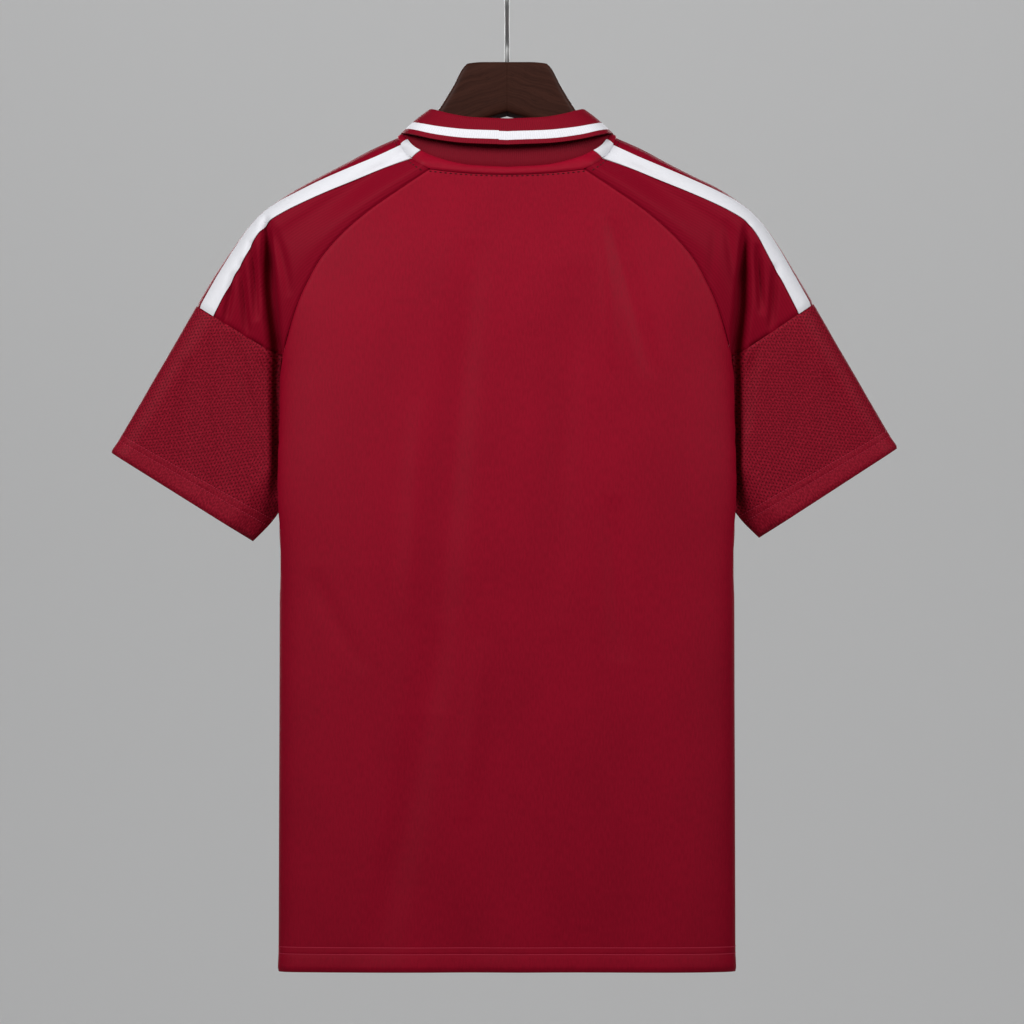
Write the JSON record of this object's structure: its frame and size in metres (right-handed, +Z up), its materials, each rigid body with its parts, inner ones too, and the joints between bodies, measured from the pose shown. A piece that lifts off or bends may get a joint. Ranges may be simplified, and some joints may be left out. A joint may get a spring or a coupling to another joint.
{
  "type": "training polo shirt on a hanger",
  "caption": "Short-sleeved raglan training polo with a fold-down collar, mesh lower sleeves and plain shoulder tapes, hung on a broad wooden hanger.",
  "frame": {"origin": "inner top of the hook's arc, where a rail carries the hanger", "axes": "+Z up, -Y out of the garment's back, +X towards the wearer's right"},
  "size_m": [0.7074, 0.0977, 0.8974],
  "materials": {
    "satin_knit": "crimson fine polyester knit with a soft satin sheen",
    "mesh_knit": "crimson knit with rows of small sunken dots, matt",
    "collar_rib": "crimson flat rib knit with one plain white stripe",
    "white_tape": "plain white tape, smooth",
    "button": "crimson plastic",
    "dark_wood": "dark brown stained wood, satin lacquer",
    "steel_wire": "bright wire"
  },
  "bodies": {
    "root": {"back_panel": "satin_knit", "front_panel": "satin_knit", "sleeve_upper_right": "satin_knit", "sleeve_upper_left": "satin_knit", "sleeve_lower_right": "mesh_knit", "sleeve_lower_left": "mesh_knit", "shoulder_tape_right": "white_tape", "shoulder_tape_left": "white_tape", "neck_binding": "satin_knit", "binding_patch_right": "white_tape", "binding_patch_left": "white_tape", "collar": "collar_rib", "placket_band": "satin_knit", "button_1": "button", "button_2": "button", "button_3": "button", "hanger": "dark_wood", "hanger_hook": "steel_wire"}
  },
  "joints": []
}
